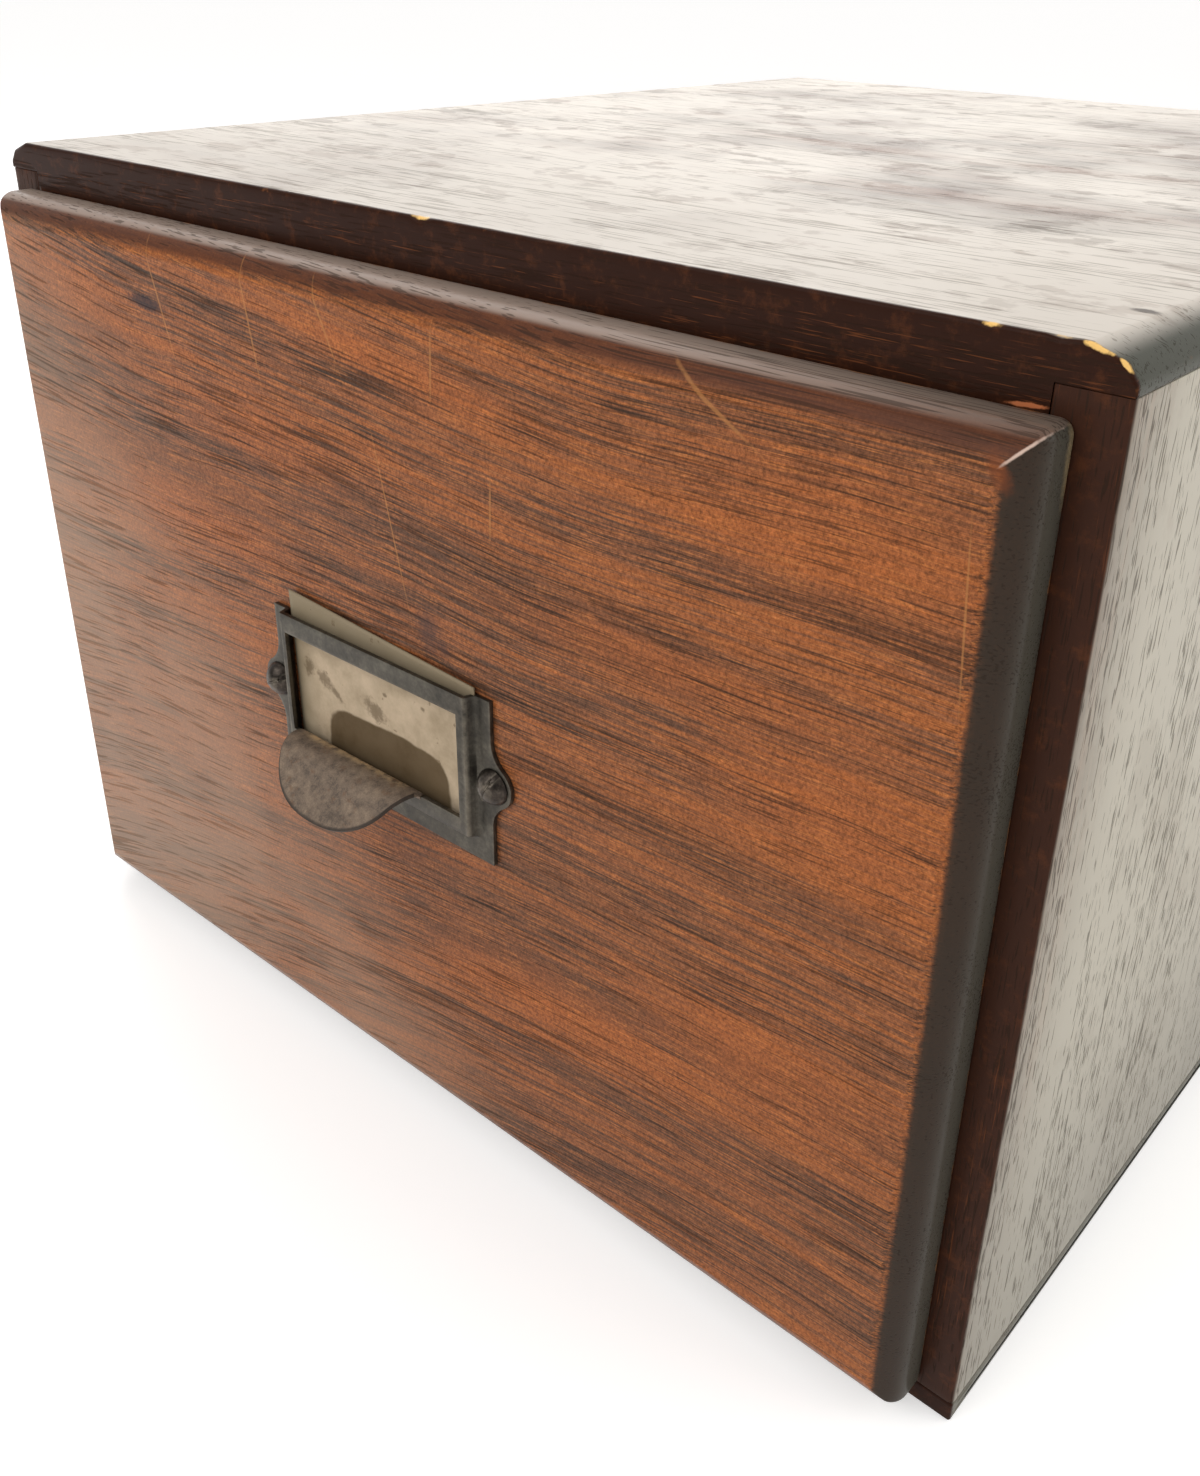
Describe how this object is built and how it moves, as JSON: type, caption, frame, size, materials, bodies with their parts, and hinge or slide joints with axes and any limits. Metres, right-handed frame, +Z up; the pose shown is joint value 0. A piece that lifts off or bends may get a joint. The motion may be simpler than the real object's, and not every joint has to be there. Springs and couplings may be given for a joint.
{
  "type": "index card drawer",
  "caption": "Hardwood card box open at the front, with a lipped drawer, a pressed steel label frame with its finger pull, and a sliding follower block for the cards.",
  "frame": {"origin": "middle of the underside of the case's bottom board, on the surface that the box stands on", "axes": "+Z up; the drawer's front faces -Y and the drawer opens that way; +X is to the right of someone who faces the front"},
  "size_m": [0.25, 0.3122, 0.182],
  "materials": {
    "case_wood": "open-pored dark hardwood under an old worn finish",
    "front_wood": "open-pored dark hardwood, redder, worn along its edges",
    "drawer_wood": "plain pale hardwood, unfinished",
    "frame_steel": "pressed steel, dark gunmetal patina rubbed bright on its edges",
    "screw_steel": "blued steel, dark",
    "inner_steel": "plain steel strip, dull",
    "card": "aged label card, stained brown"
  },
  "bodies": {
    "case": {"case_top": "case_wood", "case_bottom": "case_wood", "case_left_side": "case_wood", "case_right_side": "case_wood", "case_back": "case_wood", "case_bottom_brads": "screw_steel", "case_back_brads": "screw_steel"},
    "drawer": {"drawer_front": "front_wood", "drawer_left_side": "drawer_wood", "drawer_right_side": "drawer_wood", "drawer_back": "drawer_wood", "drawer_bottom": "drawer_wood", "drawer_bottom_brads": "screw_steel", "label_frame_pull": "frame_steel", "label_screws": "screw_steel", "follower_track": "inner_steel", "follower_track_pins": "inner_steel"},
    "card": {"label_card": "card"},
    "follower": {"follower_block": "drawer_wood", "follower_bracket": "inner_steel", "follower_bracket_screws": "screw_steel", "follower_bolt": "inner_steel", "follower_slide_plate": "inner_steel"},
    "thumb_nut": {"follower_thumb_nut": "inner_steel"}
  },
  "joints": [
    {"name": "drawer_slide", "type": "slide", "parent": "case", "child": "drawer", "axis": [0, -1, 0], "range_m": [0, 0.24]},
    {"name": "label_card_slide", "type": "slide", "parent": "drawer", "child": "card", "axis": [0, 0, 1], "range_m": [0, 0.032]},
    {"name": "follower_slide", "type": "slide", "parent": "drawer", "child": "follower", "axis": [0, -1, 0], "range_m": [0, 0.2]},
    {"name": "thumb_nut_turn", "type": "hinge", "parent": "follower", "child": "thumb_nut", "pos_m": [0, 0.1063, 0.0237], "axis": [0, 0, 1], "range_deg": [0, 360]}
  ]
}
